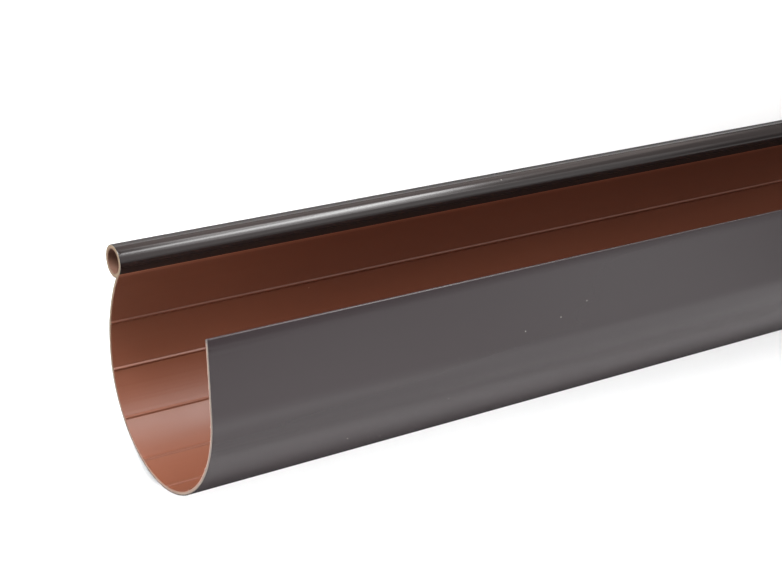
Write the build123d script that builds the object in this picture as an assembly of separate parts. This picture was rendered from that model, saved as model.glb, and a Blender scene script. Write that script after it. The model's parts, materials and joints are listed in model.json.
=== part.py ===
from build123d import *
from math import atan2, degrees, radians
import os

# Driving dimensions, in millimetres and degrees.
# The section is drawn as the gutter hangs: its round bottom lowest, its bead in front.
length = 2000.0
wall = 2.0
# The round bottom, turned through these angles from its lowest point to each side.
bottom_radius = 50.0
bottom_sweep_front = 75.0
bottom_sweep_rear = 102.3
# The front wall goes on in a wider arc up to the bead. The rear wall is straight.
front_radius = 66.0
front_sweep = 43.2
rear_height = 35.3
rim_rounding = 0.6
bead_radius = 8.0
bore_radius = 5.7
rib_count = 8
rib_pitch = 24.1
rib_height = 0.5
rib_width = 1.4

rib_radius = (rib_width**2 / 4 + rib_height**2) / (2 * rib_height)
# Distance along the inner face from the rear rim to the lowest point.
rim_to_bottom = rear_height + radians(bottom_sweep_rear) * bottom_radius


def face_line(outward):
    """A line from the rear rim round to the bead, this far outside the inner face."""
    radius = bottom_radius + outward
    rear_turn = Vector(0, -radius).rotate(Axis.Z, -bottom_sweep_rear)
    down = Vector(1, 0).rotate(Axis.Z, -bottom_sweep_rear)
    bottom = JernArc(rear_turn, down, radius, bottom_sweep_rear + bottom_sweep_front)
    front = JernArc(bottom @ 1, bottom % 1, front_radius + outward, front_sweep)
    rear = Line(rear_turn - down * rear_height, rear_turn)
    return Wire([rear, bottom, front])


def off_face(line, along, outward):
    """The point this far along the inner face from the rim, then this far outside it."""
    point = line.position_at(along, position_mode=PositionMode.LENGTH)
    tangent = line.tangent_at(along, position_mode=PositionMode.LENGTH)
    return point + tangent.rotate(Axis.Z, -90) * outward


def wall_band():
    """The wall of the channel, open at the mouth, with its rim rounded."""
    inner, outer = face_line(0), face_line(wall)
    ends = [Line(inner @ 0, outer @ 0), Line(inner @ 1, outer @ 1)]
    band = make_face(inner.edges() + outer.edges() + ends)
    rim_corners = band.vertices().sort_by_distance(off_face(inner, 0, wall / 2))[:2]
    return fillet(rim_corners, rim_rounding)


def hung_section():
    """The wall with its ribs, and the tubular bead that the front wall runs into, tangent inside."""
    inner = face_line(0)
    section = wall_band()
    for i in range(rib_count):
        along = rim_to_bottom + (i - (rib_count - 1) / 2) * rib_pitch
        section += Pos(off_face(inner, along, rib_radius - rib_height)) * Circle(rib_radius)
    bead_centre = off_face(inner, inner.length, bead_radius)
    return section + Pos(bead_centre) * Circle(bead_radius) - Pos(bead_centre) * Circle(bore_radius)


def resting_section():
    """The section turned until its centre of mass is straight below the round's centre."""
    section = hung_section()
    mass_centre = section.face().center(CenterOf.MASS)
    roll = degrees(atan2(mass_centre.X, -mass_centre.Y))
    return Rot(0, 0, -roll) * section


def gutter_section():
    """The extruded gutter lying free on a floor, mouth towards -Y and up, origin under its middle."""
    across = Plane(origin=(0, 0, 0), x_dir=(0, -1, 0), z_dir=(-1, 0, 0))
    gutter = extrude(across * resting_section(), amount=length / 2, both=True)
    box = gutter.bounding_box()
    return Pos(0, -box.center().Y, -box.min.Z) * gutter


os.makedirs("parts", exist_ok=True)
solid = gutter_section().solid()
solid.label = "gutter_section"
export_step(solid, "parts/gutter_section.step")
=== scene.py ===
import json
from math import acos, ceil, cos, pi, radians, sin

import bmesh
import bpy
from mathutils import Matrix, Vector, noise


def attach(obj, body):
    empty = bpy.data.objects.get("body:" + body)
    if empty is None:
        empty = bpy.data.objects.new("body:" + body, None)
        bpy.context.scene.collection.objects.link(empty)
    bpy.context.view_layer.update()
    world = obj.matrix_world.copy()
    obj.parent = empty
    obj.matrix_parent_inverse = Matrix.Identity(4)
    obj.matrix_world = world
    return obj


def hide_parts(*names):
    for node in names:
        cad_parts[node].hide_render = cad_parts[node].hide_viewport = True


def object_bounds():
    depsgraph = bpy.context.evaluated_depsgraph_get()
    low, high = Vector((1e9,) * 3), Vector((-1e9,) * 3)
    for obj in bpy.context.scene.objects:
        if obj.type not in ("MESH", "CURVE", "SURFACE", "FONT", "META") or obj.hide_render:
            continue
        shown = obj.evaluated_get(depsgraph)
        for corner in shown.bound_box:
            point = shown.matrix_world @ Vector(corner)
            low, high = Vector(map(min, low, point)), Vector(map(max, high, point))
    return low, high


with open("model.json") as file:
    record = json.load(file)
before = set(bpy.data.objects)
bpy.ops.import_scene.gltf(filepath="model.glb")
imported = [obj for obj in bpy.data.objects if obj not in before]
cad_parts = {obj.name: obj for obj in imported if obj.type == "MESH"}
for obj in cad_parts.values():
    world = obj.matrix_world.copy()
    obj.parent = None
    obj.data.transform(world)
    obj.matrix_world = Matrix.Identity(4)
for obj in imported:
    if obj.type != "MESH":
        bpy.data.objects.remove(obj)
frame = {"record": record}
cad_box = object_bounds()
mm = 0.001

# The section, drawn as the gutter hangs, with its round's centre at the origin, its bead towards -Y
# and its rear wall towards +Y. Turns are about X, and angles are measured from the lowest point.
wall = 2.0 * mm
bottom_radius = 50.0 * mm
bottom_sweep_front = radians(75.0)
bottom_sweep_rear = radians(102.3)
front_radius = 66.0 * mm
front_sweep = radians(43.2)
rear_height = 35.3 * mm
rim_rounding = 0.6 * mm
# The rear wall's top leans in over the mouth a little.
lip_length = 5.5 * mm
lip_sweep = radians(6.0)
lip_radius = (lip_length - rim_rounding) / lip_sweep
bead_radius = 8.0 * mm
bore_radius = 5.7 * mm
# The ribs, each with two flat flanks at this slope and a round crest of this radius.
rib_count = 8
rib_pitch = 24.1 * mm
rib_width = 1.8 * mm
rib_slope = radians(33.0)
rib_crest = 0.55 * mm

# How fine the curves are, what counts as the same place, and which edges look sharp.
facet = 0.5 * mm
fewest_facets = 10
joined = 0.001 * mm
close_by = 0.01 * mm
sharp_angle = radians(25.0)

# The stretches of the skin along the gutter: short ones at the sawn ends, then longer ones.
half_length = cad_box[1][0]
chipped_reach = 1.5 * mm
middle_stretch = 100.0 * mm

# The sawn ends: their broken edges, the depth of the skins on the sawn face, and their chips.
sawn_edge = 0.12 * mm
skin_depth = 0.4 * mm
chip_depth = 0.14 * mm
chip_size = 1.1 * mm

# Finishes, as the numbers of the material slots.
SAWN, SKIN, INSIDE, BORE, SAWN_SKIN, SAWN_INSIDE = range(6)


def bottom_arm(angle):
    """The direction from the round's centre at this angle from the lowest point towards the bead."""
    return Matrix.Rotation(-angle, 3, "X") @ Vector((0, 0, -1))


def swung(point, centre, turn):
    """The point turned about a line along the gutter through this centre."""
    return centre + Matrix.Rotation(turn, 3, "X") @ (point - centre)


class Outline:
    """The section's edges, drawn one stretch after another, each stretch with its finish."""

    def __init__(self, mesh, start):
        self.mesh = mesh
        self.finish = mesh.edges.layers.int["finish"]
        self.tip = mesh.verts.new(start)

    def stretch(self, finish, draw):
        """Draws a stretch and marks its new edges with the finish."""
        before = set(self.mesh.edges)
        draw()
        for edge in set(self.mesh.edges) - before:
            edge[self.finish] = finish

    def straight(self, way, finish):
        """A straight stretch, in facets."""
        count = max(1, ceil(way.length / facet))

        def draw():
            for _ in range(count):
                self.tip = bmesh.ops.extrude_vert_indiv(self.mesh, verts=[self.tip])["verts"][0]
                bmesh.ops.translate(self.mesh, verts=[self.tip], vec=way / count)

        self.stretch(finish, draw)

    def arc(self, centre, turn, finish):
        """A round stretch, turned about this centre. A full turn closes on itself."""
        length = abs(turn) * (self.tip.co - centre).length
        way = {"cent": centre, "axis": (1, 0, 0), "angle": turn}
        way["steps"] = max(fewest_facets, ceil(length / facet))
        way["use_merge"] = abs(turn) == 2 * pi

        def draw():
            made = bmesh.ops.spin(self.mesh, geom=[self.tip], **way)
            self.tip = made["geom_last"][0]

        self.stretch(finish, draw)

    def rib(self, up, on, foot_to_foot, finish):
        """A low ridge with two flat flanks and a round crest, standing up and drawn onwards."""
        flank = (foot_to_foot / 2 - rib_crest * sin(rib_slope)) / cos(rib_slope)
        climb = on * cos(rib_slope) + up * sin(rib_slope)
        fall = on * cos(rib_slope) - up * sin(rib_slope)
        self.straight(climb * flank, finish)
        off_flank = up * cos(rib_slope) - on * sin(rib_slope)
        self.arc(self.tip.co - off_flank * rib_crest, -2 * rib_slope, finish)
        self.straight(fall * flank, finish)

    def ribbed_arc(self, centre, turn, ribs, finish):
        """A round stretch of the inner face, with a rib at each of these distances along it."""
        radius = (self.tip.co - centre).length
        half_rib = rib_width / 2 / radius
        done = 0.0
        for along in ribs:
            self.arc(centre, along / radius - half_rib - done, finish)
            up = (centre - swung(self.tip.co, centre, half_rib)).normalized()
            on = Matrix.Rotation(-pi / 2, 3, "X") @ up
            self.rib(up, on, 2 * radius * sin(half_rib), finish)
            done = along / radius + half_rib
        self.arc(centre, turn - done, finish)


rear_out = bottom_arm(-bottom_sweep_rear)
rear_up = Matrix.Rotation(pi / 2, 3, "X") @ rear_out
front_arc_centre = bottom_arm(bottom_sweep_front) * (bottom_radius - front_radius)
to_bead = bottom_arm(bottom_sweep_front + front_sweep)


def draw_section(mesh, x):
    """The closed outline of wall, ribs and bead, and the bore, at this place along the gutter."""
    place = Vector((x, 0, 0))
    front_centre = place + front_arc_centre
    bead_centre = front_centre + to_bead * (front_radius + bead_radius)

    outer, reach = front_radius + wall, front_radius + bead_radius
    notch_at_front = acos((outer**2 + reach**2 - bead_radius**2) / (2 * outer * reach))
    notch_at_bead = acos((bead_radius**2 + reach**2 - outer**2) / (2 * bead_radius * reach))

    front_length = front_sweep * front_radius
    bead_to_bottom = front_length + bottom_sweep_front * bottom_radius
    ribs = [bead_to_bottom + (i - (rib_count - 1) / 2) * rib_pitch for i in range(rib_count)]
    front_ribs = [rib for rib in ribs if rib < front_length]
    bottom_ribs = [rib - front_length for rib in ribs if rib > front_length]

    rear_straight = rear_up * (rear_height - lip_length)
    lip_centre = place + rear_out * (bottom_radius - lip_radius) + rear_straight
    lip_turn = Matrix.Rotation(lip_sweep, 3, "X")
    rim_out, rim_up = lip_turn @ rear_out, lip_turn @ rear_up

    line = Outline(mesh, lip_centre + rim_out * (lip_radius + wall))
    line.arc(lip_centre, -lip_sweep, SKIN)
    line.straight(-rear_straight, SKIN)
    line.arc(place, -bottom_sweep_rear - bottom_sweep_front, SKIN)
    line.arc(front_centre, notch_at_front - front_sweep, SKIN)
    line.arc(bead_centre, notch_at_bead - 2 * pi, SKIN)
    line.ribbed_arc(front_centre, front_sweep, front_ribs, INSIDE)
    line.ribbed_arc(place, bottom_sweep_rear + bottom_sweep_front, bottom_ribs, INSIDE)
    line.straight(rear_straight, INSIDE)
    line.arc(lip_centre, lip_sweep, INSIDE)
    line.arc(line.tip.co + rim_out * rim_rounding, -pi / 2, SKIN)
    line.straight(rim_out * (wall - 2 * rim_rounding), SKIN)
    line.arc(line.tip.co - rim_up * rim_rounding, -pi / 2, SKIN)

    bore = Outline(mesh, bead_centre - to_bead * bore_radius)
    bore.arc(bead_centre, 2 * pi, BORE)
    bmesh.ops.remove_doubles(mesh, verts=mesh.verts, dist=joined)


def pull(mesh, ring, distance):
    """Draws the ring of edges out along the gutter, and returns the ring at the far end."""
    made = bmesh.ops.extrude_edge_only(mesh, edges=ring)["geom"]
    verts = {item for item in made if isinstance(item, bmesh.types.BMVert)}
    bmesh.ops.translate(mesh, verts=list(verts), vec=(distance, 0, 0))
    edges = [item for item in made if isinstance(item, bmesh.types.BMEdge)]
    return [edge for edge in edges if verts.issuperset(edge.verts)]


def saw_off(mesh, ring, finish):
    """Closes an end: a narrow broken edge, the sawn skins and the sawn core."""
    outline = set(ring)
    made = bmesh.ops.triangle_fill(mesh, edges=ring, use_beauty=True)["geom"]
    core = [item for item in made if isinstance(item, bmesh.types.BMFace)]
    bmesh.ops.recalc_face_normals(mesh, faces=mesh.faces)
    for face in core:
        face.material_index = SAWN

    even = {"use_even_offset": True, "use_boundary": True}
    slant = bmesh.ops.inset_region(mesh, faces=core, thickness=sawn_edge, depth=sawn_edge, **even)
    broken = slant["faces"]
    for face in broken:
        face.material_index = max(edge[finish] for edge in face.edges if edge in outline)

    rims = bmesh.ops.inset_region(mesh, faces=core, thickness=skin_depth, depth=0.0, **even)
    for face in rims["faces"]:
        beside = {other for edge in face.edges for other in edge.link_faces}.intersection(broken)
        outside = any(other.material_index == SKIN for other in beside)
        face.material_index = SAWN_SKIN if outside else SAWN_INSIDE


def make_gutter():
    """The whole gutter as one closed skin, in its stored pose."""
    mesh = bmesh.new()
    finish = mesh.edges.layers.int.new("finish")
    draw_section(mesh, sawn_edge - half_length)
    first_ring = list(mesh.edges)
    ring = first_ring
    body = 2 * (half_length - sawn_edge - chipped_reach - middle_stretch)
    for step in (chipped_reach, middle_stretch, body, middle_stretch, chipped_reach):
        ring = pull(mesh, ring, step)
    for face in mesh.faces:
        face.material_index = max(edge[finish] for edge in face.edges)
    saw_off(mesh, first_ring, finish)
    saw_off(mesh, ring, finish)
    chip_edges(mesh)
    bmesh.ops.transform(mesh, matrix=stored, verts=mesh.verts)
    bmesh.ops.recalc_face_normals(mesh, faces=mesh.faces)
    return mesh


def chip_edges(mesh):
    """Takes small uneven bites out of the sawn edges."""
    for vert in mesh.verts:
        if abs(abs(vert.co.x) - (half_length - sawn_edge)) < close_by:
            bite = max(0.0, noise.noise(vert.co / chip_size))
            inward = Vector((0, vert.normal.y, vert.normal.z)).normalized()
            vert.co -= inward * bite * chip_depth


# The gutter's stored pose is its hung pose rolled about its length, as the mount under it says.
seat = next(mount for mount in frame["record"]["mounts"] if mount["name"] == "bracket_seat")
seat_way = Vector(seat["axis"])
roll = Vector((0, 0, -1)).rotation_difference(seat_way).to_matrix().to_4x4()
round_centre = Vector(seat["pos_m"]) - seat_way * (bottom_radius + wall)
stored = Matrix.Translation(round_centre) @ roll

# Marks for the finishes: the way to the rear wall, the bead's foot inside, and the rim's top.
hung_rear = roll @ Vector((0, 1, 0))
bead_foot = stored @ (front_arc_centre + to_bead * front_radius)
rim_top = stored @ (rear_out * (bottom_radius + wall / 2) + rear_up * rear_height)


# The Mix node's sockets for an amount and two colours, and its output for a colour.
mix_amount, mix_under, mix_over, mix_result = 0, 6, 7, 2
# The range that soft noise mostly keeps to.
noise_low, noise_high = 0.3, 0.7
# Specks lie one to a cell at most, with this many cells to a metre. The share of cells that have
# one ends softly, within this factor.
speck_cells = 90.0
speck_margin = 1.01


class Value:
    """A number, colour or vector inside a material. Numbers can be added and multiplied."""

    def __init__(self, finish, socket):
        self.finish = finish
        self.socket = socket

    def __add__(self, other):
        return self.finish.maths("ADD", self, other)

    def __radd__(self, other):
        return self.finish.maths("ADD", other, self)

    def __mul__(self, other):
        return self.finish.maths("MULTIPLY", self, other)

    def __rmul__(self, other):
        return self.finish.maths("MULTIPLY", other, self)


class Finish:
    """A material with one shader, and the nodes that vary it."""

    def __init__(self, name):
        self.material = bpy.data.materials.new(name)
        self.material.use_nodes = True
        self.tree = self.material.node_tree
        self.shader = self.tree.nodes["Principled BSDF"]

    def node(self, kind, settings=None, sockets=None, output=0):
        """Any node: its settings first, then the values or links of its sockets."""
        made = self.tree.nodes.new("ShaderNode" + kind)
        for name, setting in (settings or {}).items():
            setattr(made, name, setting)
        for name, value in (sockets or {}).items():
            self.feed(made.inputs[name], value)
        return Value(self, made.outputs[output])

    def feed(self, socket, value):
        """Links a value to a socket, or sets a number, colour or vector on it."""
        if isinstance(value, Value):
            self.tree.links.new(value.socket, socket)
        else:
            socket.default_value = value

    def maths(self, operation, left, right):
        """Two numbers put together by this operation."""
        return self.node("Math", {"operation": operation}, {0: left, 1: right})

    def set(self, **values):
        """Sets sockets of the shader, by name with spaces as underscores."""
        for name, value in values.items():
            self.feed(self.shader.inputs[name.replace("_", " ")], value)

    def place(self):
        """Where on the gutter a point is, in metres."""
        return self.node("TexCoord", output="Object")

    def vectors(self, operation, left, right, output=0):
        """Two vectors put together by this operation."""
        return self.node("VectorMath", {"operation": operation}, {0: left, 1: right}, output)

    def along(self, way):
        """How far a point is from the round's centre in this direction."""
        from_centre = self.vectors("SUBTRACT", self.place(), round_centre)
        return self.vectors("DOT_PRODUCT", from_centre, way, "Value")

    def off_line(self, spot):
        """How far a point is from the line along the gutter through this spot in its middle."""
        across = self.vectors("MULTIPLY", self.place(), (0.0, 1.0, 1.0))
        return self.vectors("DISTANCE", across, spot, "Value")

    def specks(self, size, share):
        """Specks of up to this radius, in this share of the cells that the finish is divided into."""
        cells = {"Vector": self.place(), "Scale": speck_cells}
        apart = self.node("TexVoronoi", {}, cells, "Distance")
        cell = self.node("TexVoronoi", {}, cells, "Position")
        chance = self.node("TexWhiteNoise", {}, {"Vector": cell})
        here = self.falling(apart, size * speck_cells / 2, size * speck_cells)
        return here * self.falling(chance, share, share * speck_margin)

    def noise(self, waves, detail=2.0):
        """Soft noise, with this many waves a metre along each axis."""
        spot = self.node("Mapping", {}, {"Vector": self.place(), "Scale": waves})
        return self.node("TexNoise", {}, {"Vector": spot, "Scale": 1.0, "Detail": detail})

    def between(self, value, low, high, start, end):
        """The value's range from low to high, spread from start to end and held there."""
        sockets = {"Value": value, "From Min": low, "From Max": high, "To Min": start, "To Max": end}
        return self.node("MapRange", {"clamp": True}, sockets)

    def rising(self, value, low, high):
        """Nothing up to low, all from high on."""
        return self.between(value, low, high, 0.0, 1.0)

    def falling(self, value, low, high):
        """All up to low, nothing from high on."""
        return self.between(value, low, high, 1.0, 0.0)

    def uneven(self, waves, start, end):
        """Noise, spread from start to end."""
        return self.between(waves, noise_low, noise_high, start, end)

    def mix(self, amount, colour, other):
        """The other colour over the first by this amount."""
        sockets = {mix_amount: amount, mix_under: colour, mix_over: other}
        return self.node("Mix", {"data_type": "RGBA", "clamp_factor": True}, sockets, mix_result)

    def bump(self, height, distance, strength=1.0):
        """Small relief for the shader's Normal."""
        return self.node("Bump", {}, {"Height": height, "Distance": distance, "Strength": strength})


def shade(red, green, blue):
    """A colour as seen on screen, from 0 to 255 each, as the linear colour that sockets take."""
    toe, toe_slope, lift, power = 0.04045, 12.92, 0.055, 2.4
    screen = [channel / 255 for channel in (red, green, blue)]
    linear = [c / toe_slope if c <= toe else ((c + lift) / (1 + lift)) ** power for c in screen]
    return (*linear, 1.0)


# Fine lines that the drawing of the stock leaves along it, as waves a metre, and their height.
skin_lines = (0.6, 900.0, 900.0)
inside_lines = (0.6, 700.0, 700.0)
line_height = 0.004 * mm


def skin_finish():
    """The dark skin of the bead and the outside, a little paler and less glossy on the rear wall,
    with painted shade at the bead's foot.
    """
    finish = Finish("dark_smooth_skin")
    draw_lines = finish.noise(skin_lines)
    cloud = finish.noise((7.0, 30.0, 30.0))
    bead_side, wall_side = -45.0 * mm, -10.0 * mm
    to_rear = finish.rising(finish.along(hung_rear), bead_side, wall_side)
    bead = finish.mix(cloud, shade(30, 24, 23), shade(34, 28, 27))
    wall_skin = finish.mix(cloud, shade(39, 29, 32), shade(44, 33, 36))

    # Close to the foot of the bead the skin is painted darker, as painted shade in the crease under
    # the bead, and made dull.
    foot_reach, foot_fade = 1.5 * mm, 5.0 * mm
    painted_shade_at_foot = finish.falling(finish.off_line(bead_foot), foot_reach, foot_fade)
    colour = finish.mix(painted_shade_at_foot, finish.mix(to_rear, bead, wall_skin), shade(16, 13, 12))

    speck_size, speck_share = 0.4 * mm, 0.3
    colour = finish.mix(finish.specks(speck_size, speck_share), colour, shade(150, 146, 140))

    gloss = finish.uneven(cloud, 0.135, 0.155)
    wall_dullness, foot_dullness = 0.085, 0.4
    line_strength = 0.15
    finish.set(
        Base_Color=colour,
        Roughness=gloss + to_rear * wall_dullness + painted_shade_at_foot * foot_dullness,
        Normal=finish.bump(draw_lines, line_height, line_strength),
    )
    return finish.material


def inside_finish():
    """The red-brown inside, with a pale drawn line and a fainter band where it meets the bead."""
    finish = Finish("red_brown_inside")
    draw_lines = finish.noise(inside_lines)
    streaks = finish.noise((1.5, 450.0, 450.0), 3.0)
    cloud = finish.noise((9.0, 40.0, 40.0))
    blotches = finish.noise((60.0, 150.0, 150.0), 3.0)
    colour = finish.mix(cloud, shade(102, 59, 43), shade(112, 66, 47))

    off_bead = finish.off_line(bead_foot)
    band_reach, band_fade, band_share = 1.6 * mm, 2.6 * mm, 0.4
    line_reach, line_fade, line_share = 0.3 * mm, 0.5 * mm, 0.8
    band = finish.between(off_bead, band_reach, band_fade, band_share, 0.0) * streaks
    line = finish.falling(off_bead, line_reach, line_fade)
    colour = finish.mix(band + line * line_share, colour, shade(186, 122, 96))

    speck_size, speck_share = 0.3 * mm, 0.2
    colour = finish.mix(finish.specks(speck_size, speck_share), colour, shade(190, 150, 130))

    gloss = finish.uneven(cloud, 0.30, 0.38)
    blotch_dullness = 0.1
    line_strength = 0.5
    finish.set(
        Base_Color=colour,
        Roughness=gloss + blotches * blotch_dullness,
        Normal=finish.bump(draw_lines, line_height, line_strength),
    )
    return finish.material


def sawn_finish(name, low, front, rear):
    """A sawn face, in three colours: low on the end, on its front wall and on its rear wall."""
    finish = Finish(name)
    grain = finish.noise((300.0, 1500.0, 1500.0), 4.0)
    strokes = finish.noise((300.0, 200.0, 2500.0), 2.0)
    front_side, rear_side = -12.0 * mm, 12.0 * mm
    to_rear = finish.rising(finish.along(hung_rear), front_side, rear_side)
    low_starts, low_whole = 18.0 * mm, 40.0 * mm
    to_low = finish.rising(finish.along(seat_way), low_starts, low_whole)
    colour = finish.mix(to_low, finish.mix(to_rear, front, rear), low)

    # The rear wall's rim is greyer on the sawn face, and fine grain shows all over it.
    rim_reach, rim_fade = 1.6 * mm, 2.4 * mm
    off_rim = finish.off_line(rim_top)
    colour = finish.mix(finish.falling(off_rim, rim_reach, rim_fade), colour, shade(104, 99, 97))
    grain_share = 0.3
    colour = finish.mix(finish.uneven(grain, 0.0, grain_share), colour, shade(90, 68, 56))

    stroke_height, stroke_strength = 0.05 * mm, 0.6
    relief = finish.bump(strokes, stroke_height, stroke_strength)
    finish.set(Base_Color=colour, Roughness=0.75, Normal=relief)
    return finish.material


def bore_finish():
    """The brown, unpolished wall of the bore."""
    finish = Finish("brown_bore")
    colour = finish.mix(finish.noise(skin_lines), shade(92, 63, 50), shade(107, 76, 62))
    finish.set(Base_Color=colour, Roughness=0.5)
    return finish.material


def floor_finish():
    """The plain pale floor, with a painted contact shadow that only reflections show: dark in
    reflections where it is close to the gutter's underside.
    """
    finish = Finish("pale_floor")
    painted_shadow_reach, painted_shadow_fade = 60.0 * mm, 390.0 * mm
    off_gutter = finish.off_line(Vector((0.0, round_centre.y, 0.0)))
    mirrored = finish.node("LightPath", output="Is Glossy Ray")
    # Painted contact shadow: only glossy rays see the floor darkened close to the gutter.
    painted_shadow = mirrored * finish.falling(off_gutter, painted_shadow_reach, painted_shadow_fade)
    colour = finish.mix(painted_shadow, shade(246, 246, 246), shade(30, 30, 30))
    finish.set(Base_Color=colour, Roughness=0.9)
    return finish.material


def put(name, mesh, finishes):
    """Makes the object of a mesh that is in its place, smooth but for its sharp edges."""
    data = bpy.data.meshes.new(name)
    mesh.to_mesh(data)
    mesh.free()
    for material in finishes:
        data.materials.append(material)
    data.shade_smooth()
    data.set_sharp_from_angle(angle=sharp_angle)
    made = bpy.data.objects.new(name, data)
    bpy.context.scene.collection.objects.link(made)
    return made


def lay_floor():
    """A wide level floor under the gutter."""
    mesh = bmesh.new()
    floor_reach = 15.0
    bmesh.ops.create_grid(mesh, x_segments=1, y_segments=1, size=floor_reach)
    floor = put("floor", mesh, [floor_finish()])


def set_camera():
    """The camera of the photograph, placed about the hung gutter's near end and rolled with it."""
    from_round_centre = Vector((300.433, 580.303, 396.164)) * mm
    heading, tilt, bank = radians(143.776), radians(62.434), radians(6.136)
    lens, sensor_width, nearest = 76.613, 36.0, 0.05
    stand = Matrix.Translation(from_round_centre + Vector((half_length, 0, 0)))
    aim = Matrix.Rotation(heading, 4, "Z") @ Matrix.Rotation(tilt, 4, "X")
    aim = aim @ Matrix.Rotation(bank, 4, "Z")
    data = bpy.data.cameras.new("camera")
    data.lens = lens
    data.sensor_width = sensor_width
    data.clip_start = nearest
    camera = bpy.data.objects.new("camera", data)
    camera.matrix_world = stored @ stand @ aim
    bpy.context.scene.collection.objects.link(camera)
    bpy.context.scene.camera = camera


def soft_light(name, place, aim, size, power, spread=180.0, colour=(1.0, 1.0, 1.0)):
    """A flat soft light at this place, facing the aim. The camera doesn't see it."""
    data = bpy.data.lights.new(name, "AREA")
    data.shape = "RECTANGLE"
    data.size, data.size_y = size
    data.spread = radians(spread)
    data.energy = power
    data.color = colour
    light = bpy.data.objects.new(name, data)
    light.visible_camera = False
    turn = (Vector(aim) - Vector(place)).to_track_quat("-Z", "Y").to_matrix().to_4x4()
    light.matrix_world = Matrix.Translation(place) @ turn
    bpy.context.scene.collection.objects.link(light)


# Common aims, a light that throws to all sides of its front, in degrees, and warm white.
near_part, near_end = (0.85, 0.0, 0.05), (1.0, 0.0, 0.05)
open_wide = 180.0
warm = (1.0, 0.88, 0.84)

# Each light's name, its place, what it aims at, its width and height, and its power in watts. Some
# rows go on with how wide the light throws and its colour.
lights = [
    # For the streak on the bead: a slanting row of narrow lamps, a wide one, and a high one.
    ("main_lamp_near", (0.29, -0.76, 1.49), (0.29, 0.0, 0.05), (0.24, 0.30), 1.5),
    ("main_lamp_middle", (0.08, -0.80, 1.46), (0.08, 0.0, 0.05), (0.18, 0.30), 1.8),
    ("main_lamp_far", (-0.08, -0.95, 1.37), (-0.08, 0.0, 0.05), (0.14, 0.50), 2.7),
    ("main_lamp_end", (-0.22, -1.08, 1.28), (-0.22, 0.0, 0.05), (0.14, 0.45), 1.7),
    ("main_lamp_round", (0.0, -0.92, 1.38), (0.0, 0.0, 0.05), (0.60, 1.0), 9.8),
    ("main_lamp_high", (0.03, -0.38, 1.6), near_part, (0.45, 0.5), 2.1),
    # Panels above the mouth and in front of the bead.
    ("far_top_panel", (-1.15, -0.85, 1.40), (-0.6, 0.0, 0.05), (1.4, 2.0), 3.8, open_wide, warm),
    ("top_panel", (-0.29, 0.16, 1.92), near_part, (1.2, 1.2), 4.3),
    ("top_rear_panel", (-0.29, 0.94, 1.68), near_part, (1.2, 1.2), 1.6),
    ("front_panel", (-0.29, -1.63, 0.99), near_part, (1.2, 1.2), 4.6, open_wide, warm),
    ("low_front_panel", (-0.29, -1.87, 0.31), near_part, (1.2, 0.6), 1.6, open_wide, warm),
    # Lamps for the sawn end that the camera sees.
    ("near_front_lamp", (1.25, -0.45, 0.45), (1.05, 0.0, 0.05), (0.4, 0.4), 2.1, 80.0),
    ("near_low_panel", (2.0, -0.5, 0.4), near_end, (0.8, 0.8), 2.5),
    ("near_rear_panel", (2.0, 0.8, 0.7), near_end, (0.8, 0.8), 3.9),
    # Panels behind the rear wall, which mirrors them.
    ("rear_panel_low", (-0.8, 2.2, 0.56), (-0.8, 0.0, 0.56), (3.0, 1.12), 15.6),
    ("rear_panel_high", (-0.62, 2.2, 1.5), (-0.22, 0.0, 0.2), (2.65, 1.0), 10.5),
    ("rear_panel_top", (-1.9, 1.9, 2.2), (0.3, 0.0, 0.05), (1.4, 0.8), 2.3),
    ("rear_panel_low_middle", (-0.1, 2.2, 0.56), (-0.1, 0.0, 0.56), (1.0, 1.12), 2.2),
    ("rear_panel_high_middle", (-0.1, 2.2, 1.5), (0.1, 0.0, 0.2), (1.0, 1.0), 1.4),
    # Lamps that keep the floor near white.
    ("floor_lamp_near", (1.0, 0.48, 0.5), (1.0, 0.48, 0.0), (0.7, 0.7), 1.3, 75.0),
    ("floor_lamp_middle", (0.3, 0.45, 0.5), (0.3, 0.45, 0.0), (0.6, 0.5), 0.15, 60.0),
    ("floor_lamp_far", (-0.5, 0.45, 0.5), (-0.5, 0.45, 0.0), (0.8, 0.5), 0.8, 60.0),
    ("floor_lamp_close", (0.6, 0.19, 0.5), (0.6, 0.17, 0.0), (1.2, 0.06), 0.8, 40.0),
    ("floor_lamp_front", (0.1, -0.55, 0.5), (0.1, -0.55, 0.0), (1.8, 0.6), 5.0, 60.0),
    ("floor_lamp_wide", (0.2, 1.1, 0.6), (0.2, 1.1, 0.0), (1.8, 1.0), 1.7, 100.0),
]
room_strength = 0.2


def set_lights():
    """Plain soft studio light in a pale room."""
    for light in lights:
        soft_light(*light)
    world = bpy.data.worlds.new("room")
    world.use_nodes = True
    room = world.node_tree.nodes["Background"]
    room.inputs["Color"].default_value = (1.0, 1.0, 1.0, 1.0)
    room.inputs["Strength"].default_value = room_strength
    bpy.context.scene.world = world
    bpy.context.scene.view_settings.view_transform = "Standard"


finishes = [
    sawn_finish(
        "sawn_core",
        low=shade(143, 123, 110),
        front=shade(130, 110, 88),
        rear=shade(128, 117, 109),
    ),
    skin_finish(),
    inside_finish(),
    bore_finish(),
    sawn_finish(
        "sawn_skin",
        low=shade(46, 39, 35),
        front=shade(127, 124, 109),
        rear=shade(117, 109, 102),
    ),
    sawn_finish(
        "sawn_inside_skin",
        low=shade(142, 103, 84),
        front=shade(98, 70, 51),
        rear=shade(176, 144, 131),
    ),
]
gutter = put("gutter", make_gutter(), finishes)
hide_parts("gutter_section")
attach(gutter, "root")
lay_floor()
set_camera()
set_lights()
